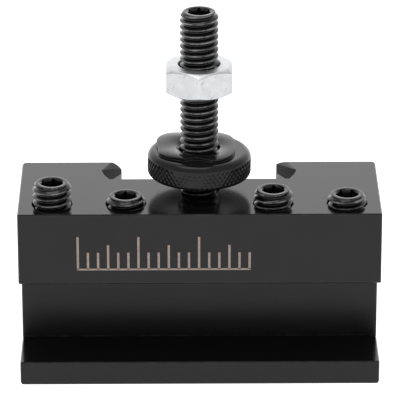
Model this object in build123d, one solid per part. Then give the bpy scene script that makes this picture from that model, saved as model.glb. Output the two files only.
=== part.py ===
from build123d import *
import math
import os

# Turning and facing tool holder for a small dovetail quick-change tool post, in millimetres.
#
# A C-shaped block takes the lathe tool in an open slot along its front. Four set screws in the
# upper jaw clamp the tool down on the ledge. A dovetail slot in the back slides onto the post.
# A fixed stud carries a knurled height nut, whose rim rests on the post, and a hex lock nut.
#
# Frame: the origin is the centre of the block's footprint, on its bottom face. +X runs along the
# block, +Y from the tool slot to the dovetail and +Z up.

# ---- block ----
LENGTH = 54.0
DEPTH = 21.1
HEIGHT = 27.7
LEDGE_THICKNESS = 3.7
SLOT_HEIGHT = 12.8
SLOT_DEPTH = 9.5
EDGE_CHAMFER = 0.15
HEEL_RADIUS = 0.6
BACK_CORNER_RADIUS = 0.7

# ---- dovetail slot, its side grooves measured from the mouth's wall and the back face ----
MOUTH_WIDTH = 23.7
DOVETAIL_DEPTH = 7.05
HEEL = (3.0, 3.45)
SHOULDER = (2.6, 5.2)
GROOVE_FLOOR = (1.2, 1.8)
RIDGE_SETBACK = 4.95
LEAD_IN_WIDTH = 1.5
LEFT_LEAD_IN_DROP = 1.25
RIGHT_LEAD_IN_DROP = 0.43
LEAD_IN_BOW = (0.55, 0.4)

# ---- M6 coarse thread: bores at the nominal size, crests a little under it as on real screws ----
THREAD_DIAMETER = 6.0
CREST_DIAMETER = 5.88
PITCH = 1.0
CREST_FLAT = PITCH / 8
ROOT_FLAT = PITCH / 4
THREAD_DEPTH = 0.5413 * PITCH
TIP_CHAMFER = 0.25
HEX_SOCKET = 3.0
SOCKET_DEPTH = 3.5
SOCKET_MOUTH = 4.3
HOLE_CHAMFER = 0.1

# ---- clamping screws: place along the block, how far each stands out, turn of its socket ----
SCREW_LENGTH = 12.0
SCREW_FROM_FRONT = 4.45
CUP_DIAMETER = 3.0
CUP_DEPTH = 0.8
CLAMP_SCREWS = {
    "clamp_screw_left_outer": (-21.95, 3.4, 24.0),
    "clamp_screw_left_inner": (-10.97, 1.3, 33.0),
    "clamp_screw_right_inner": (10.97, 2.2, 27.0),
    "clamp_screw_right_outer": (21.95, 1.5, 2.0),
}

# ---- height stud, knurled nut and lock nut, with heights above the block's top face ----
STUD_FROM_FRONT = 10.3
STUD_LENGTH = 35.0
STUD_STAND_OUT = 28.15
STUD_SOCKET_TURN = 30.0
WHEEL_DIAMETER = 15.5
WHEEL_THICKNESS = 3.7
WHEEL_HEIGHT = 2.6
WHEEL_SHOULDER = 1.1
WHEEL_CHAMFER = 0.35
HUB_DIAMETER = 13.0
HUB_RISE = 0.53
HUB_NARROWEST = 5.3
HUB_SCALLOP_RADIUS = 6.0
WHEEL_COUNTERSINK = 6.9
LOCK_NUT_WIDTH = 9.8
LOCK_NUT_THICKNESS = 4.2
LOCK_NUT_HEIGHT = 15.75
NUT_CHAMFER_ANGLE = 30.0
NUT_FACE_DIAMETER = 9.31
NUT_COUNTERSINK = 6.4

# ---- places worked out from the sizes above ----
FRONT = -DEPTH / 2
BACK = DEPTH / 2
CEILING = LEDGE_THICKNESS + SLOT_HEIGHT
SCREW_Y = FRONT + SCREW_FROM_FRONT
STUD_Y = FRONT + STUD_FROM_FRONT
BORE_RADIUS = THREAD_DIAMETER / 2
OVERRUN = 1.0


def block():
    """The outer block with the tool slot cut along its front, its outer edges chamfered."""
    shape = Box(LENGTH, DEPTH, HEIGHT, align=(Align.CENTER, Align.CENTER, Align.MIN))
    slot = Box(
        LENGTH + 2 * OVERRUN,
        SLOT_DEPTH + OVERRUN,
        SLOT_HEIGHT,
        align=(Align.CENTER, Align.MIN, Align.MIN),
    )
    shape -= Pos(0, FRONT - OVERRUN, LEDGE_THICKNESS) * slot
    back_corners = [
        edge
        for edge in shape.edges().filter_by(Axis.Z)
        if edge.center().Y > BACK - OVERRUN
    ]
    shape = fillet(back_corners, BACK_CORNER_RADIUS)
    slot_wall = FRONT + SLOT_DEPTH
    outer = [
        edge
        for edge in shape.edges()
        if edge.center().Y < BACK - OVERRUN
        and (edge.center().X != 0 or abs(edge.center().Y - slot_wall) > OVERRUN)
    ]
    return chamfer(outer, EDGE_CHAMFER)


def rounded_heels():
    """What the rounding of the block's two bottom end edges takes off."""
    radius = HEEL_RADIUS
    square = Rectangle(radius + OVERRUN, radius + OVERRUN, align=(Align.MAX, Align.MAX))
    corner = Pos(radius, radius) * (square - Circle(radius))
    prism = extrude(corner, DEPTH + 2 * OVERRUN)
    left = Pos(-LENGTH / 2, BACK + OVERRUN, 0) * Rot(90, 0, 0) * prism
    return [left, mirror(left, Plane.YZ)]


def groove_outline():
    """The right-hand side groove of the dovetail slot, seen from above."""
    wall = MOUTH_WIDTH / 2
    floor = BACK - DOVETAIL_DEPTH
    return [
        (wall - OVERRUN, BACK + OVERRUN),
        (wall, BACK + OVERRUN),
        (wall, BACK),
        (wall + HEEL[0], BACK - HEEL[1]),
        (wall + SHOULDER[0], BACK - SHOULDER[1]),
        (wall + GROOVE_FLOOR[1], floor),
        (wall + GROOVE_FLOOR[0], floor),
        (wall, BACK - RIDGE_SETBACK),
        (wall - OVERRUN, BACK - RIDGE_SETBACK),
    ]


def dovetail_slot():
    """The upright slot in the back: a square channel with an angled groove in each wall."""
    channel = Pos(0, BACK - DOVETAIL_DEPTH, -OVERRUN) * Box(
        MOUTH_WIDTH,
        DOVETAIL_DEPTH + OVERRUN,
        HEIGHT + 2 * OVERRUN,
        align=(Align.CENTER, Align.MIN, Align.MIN),
    )
    outline = make_face(Polyline(groove_outline(), close=True))
    groove = Pos(0, 0, -OVERRUN) * extrude(outline, HEIGHT + 2 * OVERRUN)
    return [channel, groove, mirror(groove, Plane.YZ)]


def lead_in(drop):
    """The rounded lead-in that eases the top of the right-hand dovetail lip, by drop at its tip.

    LEAD_IN_BOW gives the middle of its arc, as shares of the reach and of the drop.
    """
    wall = MOUTH_WIDTH / 2
    start = Vector(wall + HEEL[0], BACK - HEEL[1], HEIGHT)
    end = Vector(wall + LEAD_IN_WIDTH, BACK, HEIGHT)
    along = (end - start).normalized()
    across = Vector(0, 0, 1).cross(along)
    reach = LEAD_IN_WIDTH * abs(along.Y)
    section_plane = Plane(origin=start, x_dir=across, z_dir=along)
    curve = ThreePointArc((0, 0), (LEAD_IN_BOW[0] * reach, -LEAD_IN_BOW[1] * drop), (reach, -drop))
    rim = Polyline(
        (reach, -drop),
        (reach + OVERRUN, -drop),
        (reach + OVERRUN, OVERRUN),
        (0, OVERRUN),
        (0, 0),
    )
    section = make_face(curve + rim)
    return extrude(section_plane * section, (end - start).length + OVERRUN)


def threaded_hole(depth):
    """A thread's bore with a chamfered mouth, going down from the origin."""
    bore = Pos(0, 0, -depth) * Cylinder(
        BORE_RADIUS, depth + OVERRUN, align=(Align.CENTER, Align.CENTER, Align.MIN)
    )
    mouth = Pos(0, 0, -HOLE_CHAMFER) * Cone(
        BORE_RADIUS,
        BORE_RADIUS + HOLE_CHAMFER + OVERRUN,
        HOLE_CHAMFER + OVERRUN,
        align=(Align.CENTER, Align.CENTER, Align.MIN),
    )
    return bore + mouth


def holder_body():
    """The whole block: tool slot, dovetail slot, screw holes and the stud's blind hole."""
    shape = block()
    shape -= rounded_heels()
    shape -= dovetail_slot()
    shape -= lead_in(RIGHT_LEAD_IN_DROP)
    shape -= mirror(lead_in(LEFT_LEAD_IN_DROP), Plane.YZ)
    for x, _, _ in CLAMP_SCREWS.values():
        shape -= Pos(x, SCREW_Y, HEIGHT) * threaded_hole(HEIGHT - CEILING + OVERRUN)
    shape -= Pos(0, STUD_Y, HEIGHT) * threaded_hole(STUD_LENGTH - STUD_STAND_OUT)
    return shape


def threaded_rod(length):
    """A rod with ring grooves of the thread's own section and pitch, standing on the origin."""
    crest = CREST_DIAMETER / 2
    root = crest - THREAD_DEPTH
    flank = (PITCH - CREST_FLAT - ROOT_FLAT) / 2
    tip = crest - TIP_CHAMFER
    points = [(0, 0), (tip, 0), (crest, TIP_CHAMFER)]
    z = TIP_CHAMFER + CREST_FLAT
    while z + 2 * flank + ROOT_FLAT < length - TIP_CHAMFER:
        points += [
            (crest, z),
            (root, z + flank),
            (root, z + flank + ROOT_FLAT),
            (crest, z + 2 * flank + ROOT_FLAT),
        ]
        z += PITCH
    points += [(crest, length - TIP_CHAMFER), (tip, length), (0, length)]
    section = make_face(Polyline([(r, 0, height) for r, height in points], close=True))
    return revolve(section, Axis.Z)


def hex_socket(turn):
    """A hexagon socket with a coned mouth, going down from the origin."""
    corner_radius = HEX_SOCKET / 2 / math.cos(math.radians(30))
    hexagon = RegularPolygon(corner_radius, 6, rotation=turn)
    mouth_depth = (SOCKET_MOUTH - HEX_SOCKET) / 2
    mouth = Pos(0, 0, -mouth_depth) * Cone(
        HEX_SOCKET / 2,
        SOCKET_MOUTH / 2,
        mouth_depth,
        align=(Align.CENTER, Align.CENTER, Align.MIN),
    )
    return Pos(0, 0, -SOCKET_DEPTH) * extrude(hexagon, SOCKET_DEPTH) + mouth


def clamp_screw(x, stand_out, turn):
    """A cup-point set screw, its top standing out of the block's top face."""
    shape = threaded_rod(SCREW_LENGTH)
    shape -= Pos(0, 0, SCREW_LENGTH) * hex_socket(turn)
    shape -= Cone(CUP_DIAMETER / 2, 0, CUP_DEPTH, align=(Align.CENTER, Align.CENTER, Align.MIN))
    return Pos(x, SCREW_Y, HEIGHT + stand_out - SCREW_LENGTH) * shape


def height_stud():
    """The long stud, screwed to the bottom of its blind hole."""
    shape = threaded_rod(STUD_LENGTH)
    shape -= Pos(0, 0, STUD_LENGTH) * hex_socket(STUD_SOCKET_TURN)
    return Pos(0, STUD_Y, HEIGHT + STUD_STAND_OUT - STUD_LENGTH) * shape


def nut_bore(thickness, countersink):
    """The bore of a nut, countersunk at both faces, standing on the origin."""
    sink = countersink / 2 - BORE_RADIUS
    bore = Cylinder(BORE_RADIUS, thickness, align=(Align.CENTER, Align.CENTER, Align.MIN))
    lower = Cone(countersink / 2, BORE_RADIUS, sink, align=(Align.CENTER, Align.CENTER, Align.MIN))
    upper = Pos(0, 0, thickness - sink) * mirror(lower, Plane.XY.offset(sink / 2))
    return bore + lower + upper


def height_nut():
    """The wheel-shaped nut: a knurled rim and a low hub with four shallow scallops."""
    radius = WHEEL_DIAMETER / 2
    rim = Cylinder(radius, WHEEL_THICKNESS, align=(Align.CENTER, Align.CENTER, Align.MIN))
    rim = fillet(rim.edges().group_by(Axis.Z)[-1], WHEEL_SHOULDER)
    rim = chamfer(rim.edges().group_by(Axis.Z)[0], WHEEL_CHAMFER)
    hub = Cylinder(
        HUB_DIAMETER / 2, WHEEL_THICKNESS + HUB_RISE, align=(Align.CENTER, Align.CENTER, Align.MIN)
    )
    scallop = Pos(HUB_NARROWEST + HUB_SCALLOP_RADIUS, 0, 0) * Cylinder(
        HUB_SCALLOP_RADIUS,
        WHEEL_THICKNESS + HUB_RISE,
        align=(Align.CENTER, Align.CENTER, Align.MIN),
    )
    hub -= [Rot(0, 0, quarter * 90) * scallop for quarter in range(4)]
    shape = rim + hub - nut_bore(WHEEL_THICKNESS + HUB_RISE, WHEEL_COUNTERSINK)
    return Pos(0, STUD_Y, HEIGHT + WHEEL_HEIGHT) * shape


def lock_nut():
    """The hexagon nut, chamfered at both faces, with one corner towards the front."""
    corner_radius = LOCK_NUT_WIDTH / 2 / math.cos(math.radians(30))
    prism = extrude(RegularPolygon(corner_radius, 6, rotation=30), LOCK_NUT_THICKNESS)
    flat_radius = NUT_FACE_DIAMETER / 2
    slope = math.tan(math.radians(NUT_CHAMFER_ANGLE))
    outside = corner_radius + OVERRUN
    fall = (outside - flat_radius) * slope
    section = [
        (0, 0),
        (flat_radius, 0),
        (outside, fall),
        (outside, LOCK_NUT_THICKNESS - fall),
        (flat_radius, LOCK_NUT_THICKNESS),
        (0, LOCK_NUT_THICKNESS),
    ]
    turned = revolve(make_face(Polyline([(r, 0, z) for r, z in section], close=True)), Axis.Z)
    shape = (prism & turned) - nut_bore(LOCK_NUT_THICKNESS, NUT_COUNTERSINK)
    return Pos(0, STUD_Y, HEIGHT + LOCK_NUT_HEIGHT) * shape


def main():
    nodes = {"holder_body": holder_body()}
    for name, (x, stand_out, turn) in CLAMP_SCREWS.items():
        nodes[name] = clamp_screw(x, stand_out, turn)
    nodes["height_stud"] = height_stud()
    nodes["knurled_height_nut"] = height_nut()
    nodes["lock_nut"] = lock_nut()
    os.makedirs("parts", exist_ok=True)
    for name, shape in nodes.items():
        export_step(shape, f"parts/{name}.step")


main()
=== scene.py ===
import math

import bmesh
import bpy
import numpy as np
from mathutils import Matrix, Vector

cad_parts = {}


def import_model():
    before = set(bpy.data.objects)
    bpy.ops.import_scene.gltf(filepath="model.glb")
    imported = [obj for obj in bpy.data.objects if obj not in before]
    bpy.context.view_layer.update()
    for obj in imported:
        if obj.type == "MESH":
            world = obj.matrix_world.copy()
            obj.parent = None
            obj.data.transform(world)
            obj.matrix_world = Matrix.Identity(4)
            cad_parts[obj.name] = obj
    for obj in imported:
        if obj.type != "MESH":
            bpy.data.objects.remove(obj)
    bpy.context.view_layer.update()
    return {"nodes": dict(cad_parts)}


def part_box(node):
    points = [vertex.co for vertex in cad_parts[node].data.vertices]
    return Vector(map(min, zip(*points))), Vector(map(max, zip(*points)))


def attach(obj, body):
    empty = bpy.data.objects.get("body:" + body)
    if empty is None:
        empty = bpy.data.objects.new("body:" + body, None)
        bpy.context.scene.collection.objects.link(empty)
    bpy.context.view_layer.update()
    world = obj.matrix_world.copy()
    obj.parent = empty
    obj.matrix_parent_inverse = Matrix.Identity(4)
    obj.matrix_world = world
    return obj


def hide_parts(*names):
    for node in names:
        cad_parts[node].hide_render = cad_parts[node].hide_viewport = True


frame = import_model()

# A turning and facing tool holder: the look of every piece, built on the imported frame. Metres.
MM = 0.001
TAU = 2 * math.pi

# ---- sizes ----

# The M6 thread as it shows: rolled crests a little under size, slightly rounded roots. Each pair
# is a share of the pitch and a share of the way from root to crest.
PITCH = 1.0 * MM
CREST_RADIUS = 2.88 * MM
ROOT_RADIUS = 2.34 * MM
THREAD_SECTION = (
    (0.00, 0.03), (0.05, 0.00), (0.10, 0.00), (0.15, 0.03), (0.19, 0.12), (0.21, 0.185),
    (0.39, 0.768), (0.41, 0.83), (0.44, 0.90), (0.48, 0.96), (0.53, 0.99), (0.58, 1.00),
    (0.63, 0.99), (0.68, 0.96), (0.71, 0.90), (0.74, 0.83), (0.94, 0.185), (0.96, 0.12),
)
# From this share up the crest is painted a lighter grey: wear on the crest, and a painted highlight
# along it.
WEAR_AND_HIGHLIGHT_FROM = 0.95
TURN_STEPS = 84
# The helix is built past both ends and pressed flat there: turns below the bottom, and in all.
TURNS_BELOW = 2.5
SPARE_TURNS = 5
# How far each screw's helix is raised along it.
THREAD_STARTS = {
    "clamp_screw_left_outer": 0.38 * MM,
    "clamp_screw_left_inner": 0.65 * MM,
    "clamp_screw_right_inner": 0.16 * MM,
    "clamp_screw_right_outer": 0.65 * MM,
    "height_stud": 0.13 * MM,
}

# The ends of the screws, with a hexagon socket about 3 mm across flats.
SOCKET_WIDTH = 3.05 * MM
SOCKET_MOUTH = 1.77 * MM
SOCKET_DEPTH = 3.3 * MM
RIM_RADIUS = 2.42 * MM
RIM_DROP = 0.06 * MM
RIM_DEPTH = 0.60 * MM
CUP_RADIUS = 1.5 * MM
CUP_DEPTH = 0.7 * MM
# The rim's rounded outer edge, as (in from the rim, down from the top) for its middle point.
RIM_ROUND = 0.12 * MM
RIM_ROUND_MIDDLE = (0.05 * MM, 0.02 * MM)
# The socket's mouth: its soft edge, its slope down to the hexagon, and the soft edge below it.
MOUTH_ROUND = 0.05 * MM
MOUTH_DROP = 0.03 * MM
MOUTH_SLOPE = 0.8
THROAT_ROUND = 0.02 * MM
THROAT_DROP = 0.06 * MM
# The small flat in the middle of a drilled end, and the depth of the drill's cone.
CENTRE_RADIUS = 0.2 * MM
DRILL_CONE = 0.5 * MM

# How far each socket is turned about its own axis, in degrees.
SOCKET_TURNS = {
    "clamp_screw_left_outer": 24.0,
    "clamp_screw_left_inner": 33.0,
    "clamp_screw_right_inner": 27.0,
    "clamp_screw_right_outer": 2.0,
    "height_stud": 30.0,
}

# The nuts' bores. The height nut's upper countersink is a little off centre.
BORE_RADIUS = 3.0 * MM
SINK_RADIUS = 3.38 * MM
SINK_SHIFT = 0.22 * MM
SINK_DEPTH = 0.45 * MM
NUT_SINK_RADIUS = 3.2 * MM

# The height nut: a knurled rim with a rounded shoulder and a low hub. It sits a little out of
# square, but not so far that it dips into the block at the bottom of its travel.
KNURLS = 64
KNURL_STEPS = 8
KNURL_DEPTH = 0.12 * MM
# The grooves' lean, their narrowness, and the knurl's fading at the rim's top and bottom.
KNURL_LEAN = 0.75
KNURL_NARROWNESS = 1.35
KNURL_END = 0.75 * MM
KNURL_FADE_TOP = 0.5 * MM
KNURL_FADE_BOTTOM = 0.4 * MM
# Waves that make the grooves uneven: size, waves round the rim, and radians per metre of height.
KNURL_WAVES = ((0.35, 5, 900), (0.3, 11, -1700))
WHEEL_TILT = math.radians(0.7)
WHEEL_ROWS = 44
WHEEL_FIRST_ROW = 0.02 * MM
SHOULDER = 1.1 * MM
HEEL_WIDTH = 0.3 * MM
HEEL_HEIGHT = 0.55 * MM
HEEL_ROUND = 0.1 * MM
# The hub: its height, the shoulder left round it, the undercut at its foot and its rounded top.
HUB_RISE = 0.53 * MM
HUB_GAP = 0.08 * MM
HUB_FOOT = 0.10 * MM
HUB_NECK = 0.13 * MM
HUB_NECK_RISE = 0.04 * MM
HUB_ROUND = 0.10 * MM
HUB_ROUND_MIDDLE = 0.03 * MM
# The edge where the hub's top meets its countersink.
SINK_ROUND = 0.05 * MM
SINK_LIP = 0.02 * MM
# The hub's outline, as (degrees, mm from the axis) at each lobe and each hollow in turn.
HUB_OUTLINE = (
    (-153, 6.70), (-119, 5.70), (-96, 4.65), (-62, 6.20), (0, 5.35),
    (55, 6.60), (100, 5.70), (138, 7.30), (186, 6.25), (207, 6.70),
)

# The lock nut: its round end face as a share of its width, its chamfer and its soft edges.
NUT_TURN = math.radians(29.6)
NUT_FACE_SHARE = 0.955
NUT_CHAMFER = math.radians(30)
NUT_FACE_ROUND = 0.06 * MM
NUT_FACE_LIP = 0.03 * MM
NUT_FACE_DROP = 0.02 * MM
NUT_SIDE_ROUND = 0.05 * MM
NUT_SIDE_DROP = 0.06 * MM
# Where each of its six sides has a column of vertices, in degrees; none is on a corner.
NUT_COLUMNS = (1.2, 3.5, 8, 13, 18, 22, 26, 30, 34, 38, 42, 47, 52, 56.5, 58.8)

# The scale of ticks on the front face.
TICK_PITCH = 1.5 * MM
TICK_COUNT = 18
TICK_WIDTH = 0.34 * MM
TICK_START = -18.1 * MM
TICK_FOOT = 18.9 * MM
TICK_LIFT = 0.01 * MM
TICK_DEPTH = 4 * TICK_LIFT
TICK_LONG = 5.2 * MM
TICK_MIDDLE = 3.9 * MM
TICK_SHORT = 2.7 * MM
BASE_LINE_SHARE = 0.8

# Camera, lens in millimetres on a 36 mm sensor. Its place and turns are those of the photo's view.
SENSOR = 36.0
LENS = 312.64
CAMERA_PLACE = (-2.73 * MM, -484.41 * MM, 224.15 * MM)
CAMERA_DOWN = 22.279
CAMERA_YAW = -0.335
CAMERA_ROLL = -0.071

# Floor, light and surroundings.
FLOOR_REACH = 4.0
FLOOR_LEVEL = -0.02 * MM
LIGHT_PLACE = (-0.05, 0, 0.6)
LIGHT_AIM = (0, 0, 0.02)
LIGHT_SIDE = 0.35
LIGHT_RADIANCE = 2.0
WORLD_FRONT = 0.67
WORLD_BEHIND = 1.66


# ---- mesh helpers ----


def centre_of(node):
    """Where a node's axis stands, and its lowest and highest level."""
    low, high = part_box(node)
    middle = (low + high) / 2
    return middle.x, middle.y, low.z, high.z


def new_object(name, mesh):
    obj = bpy.data.objects.new(name, mesh)
    bpy.context.scene.collection.objects.link(obj)
    return obj


def finish_mesh(name, build, sharp_degrees=35):
    """Turns a filled bmesh into a shaded object, creased where faces meet more sharply."""
    bmesh.ops.remove_doubles(build, verts=build.verts, dist=1e-7)
    bmesh.ops.recalc_face_normals(build, faces=build.faces)
    mesh = bpy.data.meshes.new(name)
    build.to_mesh(mesh)
    build.free()
    mesh.polygons.foreach_set("use_smooth", [True] * len(mesh.polygons))
    mesh.set_sharp_from_angle(angle=math.radians(sharp_degrees))
    return new_object(name, mesh)


def place(build, x, y, z, turn=0.0):
    """Turns what is built about the Z axis and moves it to its place."""
    bmesh.ops.rotate(build, verts=build.verts, cent=(0, 0, 0), matrix=Matrix.Rotation(turn, 3, "Z"))
    bmesh.ops.translate(build, verts=build.verts, vec=(x, y, z))


def add_ring(build, radii, heights, angles):
    """One ring of vertices about the Z axis."""
    return [
        build.verts.new((r * math.cos(a), r * math.sin(a), z))
        for r, z, a in zip(radii, heights, angles)
    ]


def bridge(build, first, second):
    """Quads between two rings of the same count."""
    count = len(first)
    for i in range(count):
        j = (i + 1) % count
        build.faces.new((first[i], first[j], second[j], second[i]))


def lathe(build, rings, angles, closed=False):
    """Bridges rings given as (radius, height), each a number or one value per angle."""
    count = len(angles)
    made = []
    for radius, height in rings:
        radii = np.broadcast_to(radius, count)
        heights = np.broadcast_to(height, count)
        made.append(add_ring(build, radii, heights, angles))
    for first, second in zip(made, made[1:]):
        bridge(build, first, second)
    if closed:
        bridge(build, made[-1], made[0])
    return made


def hexagon_radius(angles, across_flats):
    """Distance from the axis to a hexagon's side, with a corner at angle 0."""
    sixth = TAU / 6
    return across_flats / 2 / np.cos(np.mod(angles, sixth) - sixth / 2)


# ---- screws ----


def thread_surface(build, length, start):
    """A right-hand helical thread up to length, raised by start, its ends eased to the rims."""
    per_turn = len(THREAD_SECTION)
    turns = int(length / PITCH) + SPARE_TURNS
    # The crest mark: where the lighter grey goes, partly wear and partly a painted crest highlight.
    wear_and_highlight_mask = build.verts.layers.float.new("wear_and_highlight_mask")
    columns = []
    for i in range(TURN_STEPS):
        angle = TAU * i / TURN_STEPS
        column = []
        for k in range(turns * per_turn):
            part, share = THREAD_SECTION[k % per_turn]
            raw = start + PITCH * (k // per_turn - TURNS_BELOW + part + i / TURN_STEPS)
            z = min(max(raw, 0.0), length)
            to_end = min(1.0, min(z, length - z) / RIM_DEPTH)
            rim = RIM_RADIUS + (CREST_RADIUS - RIM_RADIUS) * to_end
            radius = min(ROOT_RADIUS + (CREST_RADIUS - ROOT_RADIUS) * share, rim)
            if raw != z:
                radius = RIM_RADIUS
            vertex = build.verts.new((radius * math.cos(angle), radius * math.sin(angle), z))
            vertex[wear_and_highlight_mask] = 1.0 if share > WEAR_AND_HIGHLIGHT_FROM else 0.0
            column.append(vertex)
        columns.append(column)
    rows = turns * per_turn
    for i in range(TURN_STEPS):
        j = (i + 1) % TURN_STEPS
        shift = per_turn if j == 0 else 0
        for k in range(rows - 1 - shift):
            here = columns[i][k:k + 2]
            there = columns[j][k + shift:k + shift + 2]
            build.faces.new((here[0], there[0], there[1], here[1]))


def socket_end(build, length, angles):
    """The screw's top: a flat rim, a sloping mouth and the hexagon socket."""
    hexagon = hexagon_radius(angles, SOCKET_WIDTH)
    fall = (SOCKET_MOUTH - hexagon) * MOUTH_SLOPE
    middle_in, middle_down = RIM_ROUND_MIDDLE
    rings = [
        (RIM_RADIUS, length - RIM_DROP),
        (RIM_RADIUS - middle_in, length - middle_down),
        (RIM_RADIUS - RIM_ROUND, length),
        (SOCKET_MOUTH + MOUTH_ROUND, length),
        (SOCKET_MOUTH, length - MOUTH_DROP),
        (hexagon + THROAT_ROUND, length - MOUTH_DROP - fall),
        (hexagon, length - THROAT_DROP - fall),
        (hexagon, length - SOCKET_DEPTH),
        (CENTRE_RADIUS, length - SOCKET_DEPTH - DRILL_CONE),
    ]
    made = lathe(build, rings, angles)
    build.faces.new(made[-1])


def cup_end(build, angles):
    """The screw's bottom: a flat ring round a shallow cup."""
    made = lathe(build, [(CENTRE_RADIUS, CUP_DEPTH), (CUP_RADIUS, 0.0), (RIM_RADIUS, 0.0)], angles)
    build.faces.new(made[0])


def screw_piece(node):
    """A threaded screw or stud in place of its CAD node."""
    x, y, low, high = centre_of(node)
    build = bmesh.new()
    angles = np.arange(TURN_STEPS) * TAU / TURN_STEPS
    thread_surface(build, high - low - RIM_DROP, THREAD_STARTS[node])
    socket_end(build, high - low, angles)
    cup_end(build, angles)
    place(build, x, y, low, math.radians(SOCKET_TURNS[node]))
    return finish_mesh(node + "_threaded", build)


# ---- height nut ----


def hub_radius(angles):
    """The hub's outline, swinging smoothly from each lobe to the next hollow."""
    start = HUB_OUTLINE[0][0]
    degrees = np.mod(np.degrees(angles) - start, 360) + start
    radii = np.zeros(len(angles))
    for (first, here), (second, there) in zip(HUB_OUTLINE, HUB_OUTLINE[1:]):
        swing = (1 - np.cos(np.pi * (degrees - first) / (second - first))) / 2
        between = (degrees >= first) & (degrees < second)
        radii = np.where(between, here + (there - here) * swing, radii)
    return radii * MM


def rim_radius(angles, z, outer, rim_top):
    """The rim's radius at a height: an eased heel, a rounded shoulder and the diamond knurl."""
    radius = outer
    if z > rim_top - SHOULDER:
        up = (z - (rim_top - SHOULDER)) / SHOULDER
        radius = outer - SHOULDER * (1 - math.sqrt(max(0.0, 1 - up * up)))
    if z < HEEL_HEIGHT:
        radius = outer - HEEL_WIDTH * (1 - z / HEEL_HEIGHT) ** 2
    around = angles * KNURLS / TAU
    along = KNURL_LEAN * z * KNURLS / (TAU * outer)
    first = np.abs(2 * np.mod(around + along, 1) - 1)
    second = np.abs(2 * np.mod(around - along, 1) - 1)
    groove = 1 - np.clip(KNURL_NARROWNESS * np.minimum(first, second), 0, 1)
    uneven = 1
    for size, waves, climb in KNURL_WAVES:
        uneven = uneven + size * np.sin(waves * angles + climb * z)
    fade_top = max(0.0, (rim_top - KNURL_END - z) / KNURL_FADE_TOP)
    fade = min(1.0, fade_top, z / KNURL_FADE_BOTTOM)
    return radius - KNURL_DEPTH * fade * groove * uneven


def wheel_piece(node):
    """The height nut: a diamond-knurled rim, a low hub and a countersunk bore."""
    low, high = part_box(node)
    x, y, bottom, top = centre_of(node)
    outer = (high.x - low.x) / 2
    thickness = top - bottom
    rim_top = thickness - HUB_RISE
    count = KNURLS * KNURL_STEPS
    angles = np.arange(count) * TAU / count
    heel = outer - HEEL_WIDTH - HEEL_ROUND
    rings = [(BORE_RADIUS, SINK_DEPTH), (SINK_RADIUS, 0.0), (heel, 0.0)]
    for row in range(WHEEL_ROWS):
        share = math.sin(math.pi / 2 * row / WHEEL_ROWS)
        z = WHEEL_FIRST_ROW + (rim_top - WHEEL_FIRST_ROW) * share
        rings.append((rim_radius(angles, z, outer, rim_top), z))
    hub = hub_radius(angles)
    flat = np.maximum(outer - SHOULDER, hub + HUB_GAP)
    sink = SINK_RADIUS - SINK_SHIFT * np.cos(angles)
    rings += [
        (flat, rim_top),
        (hub - HUB_FOOT, rim_top),
        (hub - HUB_NECK, rim_top + HUB_NECK_RISE),
        (hub, thickness - HUB_ROUND),
        (hub - HUB_ROUND_MIDDLE, thickness - HUB_ROUND_MIDDLE),
        (hub - HUB_ROUND, thickness),
        (sink + SINK_ROUND, thickness),
        (sink - SINK_LIP, thickness - SINK_ROUND),
        (BORE_RADIUS, thickness - SINK_DEPTH),
    ]
    build = bmesh.new()
    lathe(build, rings, angles, closed=True)
    tilt = Matrix.Rotation(WHEEL_TILT, 3, "Y")
    bmesh.ops.rotate(build, verts=build.verts, cent=(0, 0, thickness / 2), matrix=tilt)
    place(build, x, y, bottom)
    return finish_mesh("knurled_wheel", build, sharp_degrees=50)


# ---- lock nut ----


def nut_piece(node):
    """The lock nut, with a corner towards the front, both faces chamfered."""
    low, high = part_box(node)
    x, y, bottom, top = centre_of(node)
    width = high.x - low.x
    thickness = top - bottom
    side = np.radians(NUT_COLUMNS)
    angles = np.concatenate([side + TAU * k / 6 for k in range(6)])
    hexagon = hexagon_radius(angles, width)
    face = NUT_FACE_SHARE * width / 2
    fall = (hexagon - face) * math.tan(NUT_CHAMFER)
    half = [
        (NUT_SINK_RADIUS, 0.0),
        (face - NUT_FACE_ROUND, 0.0),
        (face + NUT_FACE_LIP, NUT_FACE_DROP),
        (hexagon - NUT_SIDE_ROUND, fall),
        (hexagon, fall + NUT_SIDE_DROP),
    ]
    rings = [(BORE_RADIUS, SINK_DEPTH)] + half
    rings += [(radius, thickness - height) for radius, height in reversed(half)]
    rings += [(BORE_RADIUS, thickness - SINK_DEPTH)]
    build = bmesh.new()
    lathe(build, rings, angles, closed=True)
    place(build, x, y, bottom, NUT_TURN)
    return finish_mesh("hex_lock_nut", build)


# ---- scale of ticks ----


def tick_height(index):
    """Every sixth tick is long and every third one middling."""
    if index % 6 == 0:
        return TICK_LONG
    return TICK_MIDDLE if index % 3 == 0 else TICK_SHORT


def tick_scale():
    """A row of thin inlaid bars on the block's front face, standing on a base line."""
    low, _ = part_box("holder_body")
    build = bmesh.new()
    bars = [
        (TICK_START + TICK_PITCH * i, TICK_FOOT + tick_height(i) / 2, TICK_WIDTH, tick_height(i))
        for i in range(TICK_COUNT)
    ]
    span = TICK_PITCH * (TICK_COUNT - 1) + TICK_WIDTH
    middle = TICK_START + TICK_PITCH * (TICK_COUNT - 1) / 2
    bars.append((middle, TICK_FOOT, span, TICK_WIDTH * BASE_LINE_SHARE))
    for x, z, width, height in bars:
        made = bmesh.ops.create_cube(build, size=1.0)["verts"]
        bmesh.ops.scale(build, verts=made, vec=(width, TICK_DEPTH, height))
        bmesh.ops.translate(build, verts=made, vec=(x, low.y + TICK_LIFT, z))
    mesh = bpy.data.meshes.new("tick_scale")
    build.to_mesh(mesh)
    build.free()
    return new_object("tick_scale", mesh)


# ---- materials ----

# The lean of the handling scratches on the lock nut.
SCRATCH_SLOPE = math.radians(40)


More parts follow.
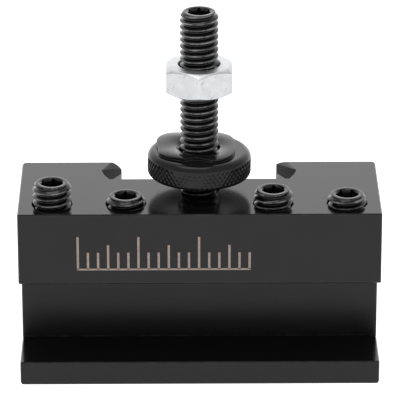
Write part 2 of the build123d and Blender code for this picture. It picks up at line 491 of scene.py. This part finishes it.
def add(tree, kind, settings=None, **values):
    """Adds a shader node; a value that is another node's output is linked, any other is set."""
    made = tree.nodes.new("ShaderNode" + kind)
    for name, value in (settings or {}).items():
        setattr(made, name, value)
    for name, value in values.items():
        socket = made.inputs[int(name[1:]) if name[1:].isdigit() else name.replace("_", " ")]
        if isinstance(value, bpy.types.NodeSocket):
            tree.links.new(value, socket)
        else:
            socket.default_value = value
    return made


def new_material(name):
    material = bpy.data.materials.new(name)
    material.use_nodes = True
    tree = material.node_tree
    return material, tree, tree.nodes["Principled BSDF"]


def noise(tree, place_at, scale, detail, stretch=(1, 1, 1)):
    """Noise over the object, with scale in features per metre."""
    mapped = add(tree, "Mapping", Vector=place_at, Scale=stretch)
    made = add(tree, "TexNoise", Vector=mapped.outputs["Vector"], Scale=scale, Detail=detail)
    return made.outputs["Fac"]


def spread(tree, value, low, high, start=0.3, end=0.7):
    """Maps start to low and end to high, evenly between them and level beyond them."""
    made = add(tree, "MapRange", Value=value, From_Min=start, From_Max=end, To_Min=low, To_Max=high)
    return made.outputs["Result"]


def product(tree, first, second):
    return add(tree, "Math", {"operation": "MULTIPLY"}, _0=first, _1=second).outputs["Value"]


def edge_mask(tree, radius):
    """1 along the edges, where the bevelled normal leaves the face's own, and 0 elsewhere."""
    round_normal = add(tree, "Bevel", {"samples": 6}, Radius=radius).outputs["Normal"]
    own_normal = add(tree, "NewGeometry").outputs["Normal"]
    match = add(tree, "VectorMath", {"operation": "DOT_PRODUCT"}, _0=round_normal, _1=own_normal)
    return spread(tree, match.outputs["Value"], 1.0, 0.0, 0.90, 0.995)


def oxide_material(name, colour, index, roughness, milled, grain, wear_and_highlight, edge_radius=None):
    """Black oxide on steel: nearly black under an oily sheen, and a lighter grey that is wear and a
    painted highlight in one.

    Level faces have the given roughness and upright ones are rougher by milled. The lighter grey,
    worn and painted bright, lies where the mesh says so, or along every edge within the given
    radius of it.
    """
    material, tree, shader = new_material(name)
    shader.inputs["IOR"].default_value = index
    coordinates = add(tree, "TexCoord").outputs
    at = coordinates["Object"]
    cloud = noise(tree, at, 110, 5)
    fine = noise(tree, at, 2600, 3)
    patch = noise(tree, at, 700, 4)
    streak = noise(tree, at, 900, 4, (0.06, 1, 1))
    if edge_radius:
        edges = edge_mask(tree, edge_radius)
    else:
        edges = add(tree, "Attribute", {"attribute_name": "wear_and_highlight_mask"}).outputs["Fac"]
    # The lighter grey's mask: the marked crests or edges, patchy; wear and a painted highlight in
    # one.
    wear_and_highlight_mask = product(tree, edges, spread(tree, patch, 0.15 * wear_and_highlight, wear_and_highlight, 0.42, 0.62))
    lift = add(tree, "SeparateXYZ", Vector=coordinates["Normal"]).outputs["Z"]
    level = add(tree, "Math", {"operation": "ABSOLUTE"}, _0=lift).outputs["Value"]
    cut = spread(tree, level, milled, 0.0, 0.2, 0.9)
    cloudy = spread(tree, cloud, roughness, roughness + 0.06)
    sheen = add(tree, "Math", {"operation": "ADD"}, _0=cut, _1=cloudy).outputs["Value"]
    streaked = add(tree, "Math", {"operation": "MULTIPLY_ADD"}, _0=streak, _1=0.05, _2=sheen)
    tree.links.new(streaked.outputs["Value"], shader.inputs["Roughness"])
    dark = (*[c * 0.7 for c in colour], 1)
    light = (*[c * 1.4 for c in colour], 1)
    tint = add(tree, "Mix", {"data_type": "RGBA"}, _0=patch, _6=dark, _7=light).outputs[2]
    # Bare grey: worn oxide, and a painted highlight on the crests and edges.
    bare_and_highlight = (0.30, 0.30, 0.30, 1)
    surface = add(tree, "Mix", {"data_type": "RGBA"}, _0=wear_and_highlight_mask, _6=tint, _7=bare_and_highlight).outputs[2]
    tree.links.new(surface, shader.inputs["Base Color"])
    height = add(tree, "Math", {"operation": "MULTIPLY_ADD"}, _0=streak, _1=0.5, _2=fine)
    bump = add(tree, "Bump", Strength=grain, Distance=0.02 * MM, Height=height.outputs["Value"])
    tree.links.new(bump.outputs["Normal"], shader.inputs["Normal"])
    return material


def zinc_material():
    """Bright zinc plate with a soft mottle, faint handling scratches and a painted dark reflection
    along its edges.
    """
    material, tree, shader = new_material("zinc_plate")
    shader.inputs["Metallic"].default_value = 1.0
    at = add(tree, "TexCoord").outputs["Object"]
    mottle = noise(tree, at, 900, 5)
    slanted = add(tree, "VectorRotate", {"rotation_type": "Y_AXIS"}, Vector=at, Angle=SCRATCH_SLOPE)
    lines = noise(tree, slanted.outputs["Vector"], 2200, 2, (0.18, 1.0, 1.0))
    tree.links.new(spread(tree, mottle, 0.36, 0.50), shader.inputs["Roughness"])
    plate = (0.575, 0.585, 0.60, 1)
    scratch = (0.34, 0.34, 0.35, 1)
    marked = spread(tree, lines, 0.0, 0.6, 0.63, 0.70)
    scratched = add(tree, "Mix", {"data_type": "RGBA"}, _0=marked, _6=plate, _7=scratch).outputs[2]
    # Painted shade: a dark reflection painted along the nut's edges.
    painted_edge_shade = (0.16, 0.16, 0.17, 1)
    edges = product(tree, edge_mask(tree, 0.08 * MM), spread(tree, mottle, 0.35, 1.0, 0.35, 0.6))
    surface = add(tree, "Mix", {"data_type": "RGBA"}, _0=edges, _6=scratched, _7=painted_edge_shade).outputs[2]
    tree.links.new(surface, shader.inputs["Base Color"])
    bump = add(tree, "Bump", Strength=0.15, Distance=0.02 * MM, Height=mottle)
    tree.links.new(bump.outputs["Normal"], shader.inputs["Normal"])
    return material


def marking_material():
    """A pale brownish laser mark, a little uneven."""
    material, tree, shader = new_material("laser_mark")
    at = add(tree, "TexCoord").outputs["Object"]
    uneven = noise(tree, at, 1800, 3)
    deep = (0.19, 0.14, 0.12, 1)
    pale = (0.38, 0.31, 0.27, 1)
    surface = add(tree, "Mix", {"data_type": "RGBA"}, _0=uneven, _6=deep, _7=pale).outputs[2]
    tree.links.new(surface, shader.inputs["Base Color"])
    shader.inputs["Roughness"].default_value = 0.6
    return material


# ---- build ----


def dress(piece, material, body, node=None):
    """Gives a piece its material and body, and hides the CAD node it stands for."""
    piece.data.materials.clear()
    piece.data.materials.append(material)
    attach(piece, body)
    if node:
        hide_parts(node)


# On all three the lighter grey of the edges or crests is wear and a painted highlight in one.
BLOCK = oxide_material(
    "block_oxide", colour=(0.0035, 0.0035, 0.0036), index=1.36, roughness=0.09, milled=0.18,
    grain=0.06, wear_and_highlight=0.10, edge_radius=0.30 * MM,
)
SCREWS = oxide_material(
    "screw_oxide", colour=(0.003, 0.003, 0.003), index=1.42, roughness=0.06, milled=0.0,
    grain=0.03, wear_and_highlight=0.60,
)
WHEEL = oxide_material(
    "wheel_oxide", colour=(0.006, 0.006, 0.006), index=1.33, roughness=0.10, milled=0.06,
    grain=0.20, wear_and_highlight=0.30, edge_radius=0.10 * MM,
)

for node in SOCKET_TURNS:
    body = "holder" if node == "height_stud" else node.replace("clamp_", "")
    dress(screw_piece(node), SCREWS, body, node)
dress(wheel_piece("knurled_height_nut"), WHEEL, "height_nut", "knurled_height_nut")
dress(nut_piece("lock_nut"), zinc_material(), "lock_nut", "lock_nut")
dress(tick_scale(), marking_material(), "holder")

block = frame["nodes"]["holder_body"]
block.data.materials.clear()
block.data.materials.append(BLOCK)

# ---- floor, light and camera ----


def floor():
    """A pale floor, glowing a little so that it stays near white round the object."""
    mesh = bpy.data.meshes.new("floor")
    signs = ((-1, -1), (1, -1), (1, 1), (-1, 1))
    corners = [(x * FLOOR_REACH, y * FLOOR_REACH, FLOOR_LEVEL) for x, y in signs]
    mesh.from_pydata(corners, [], [(0, 1, 2, 3)])
    obj = new_object("floor", mesh)
    material, _, shader = new_material("pale_floor")
    shader.inputs["Base Color"].default_value = (0.35, 0.35, 0.35, 1)
    shader.inputs["Roughness"].default_value = 0.9
    shader.inputs["Specular IOR Level"].default_value = 0.0
    shader.inputs["Emission Color"].default_value = (1, 1, 1, 1)
    shader.inputs["Emission Strength"].default_value = 1.15
    mesh.materials.append(material)


def area_light(name, location, aim, side, radiance):
    """A square soft box of an even brightness."""
    data = bpy.data.lights.new(name, "AREA")
    data.shape = "SQUARE"
    data.size = side
    data.energy = radiance * math.pi * side * side
    obj = bpy.data.objects.new(name, data)
    obj.location = location
    obj.rotation_euler = (Vector(aim) - Vector(location)).to_track_quat("-Z", "Y").to_euler()
    bpy.context.scene.collection.objects.link(obj)


def world(front, behind):
    """Soft studio surroundings, brighter behind the object than in front of it."""
    made = bpy.data.worlds.new("studio")
    made.use_nodes = True
    tree = made.node_tree
    direction = add(tree, "TexCoord").outputs["Generated"]
    depth = add(tree, "SeparateXYZ", Vector=direction).outputs["Y"]
    level = spread(tree, depth, front, behind, 0.35, 0.95)
    background = tree.nodes["Background"]
    background.inputs["Color"].default_value = (1, 1, 1, 1)
    tree.links.new(level, background.inputs["Strength"])
    bpy.context.scene.world = made


def camera():
    data = bpy.data.cameras.new("camera")
    data.sensor_width = SENSOR
    data.lens = LENS
    data.clip_start, data.clip_end = 0.05, 20.0
    obj = bpy.data.objects.new("camera", data)
    obj.location = CAMERA_PLACE
    yaw = Matrix.Rotation(math.radians(CAMERA_YAW), 3, "Z")
    pitch = Matrix.Rotation(math.radians(90 - CAMERA_DOWN), 3, "X")
    roll = Matrix.Rotation(math.radians(CAMERA_ROLL), 3, "Z")
    obj.rotation_euler = (yaw @ pitch @ roll).to_euler()
    bpy.context.scene.collection.objects.link(obj)
    bpy.context.scene.camera = obj


bpy.context.scene.view_settings.view_transform = "Standard"
floor()
world(WORLD_FRONT, WORLD_BEHIND)
area_light("overhead", LIGHT_PLACE, LIGHT_AIM, LIGHT_SIDE, LIGHT_RADIANCE)
camera()
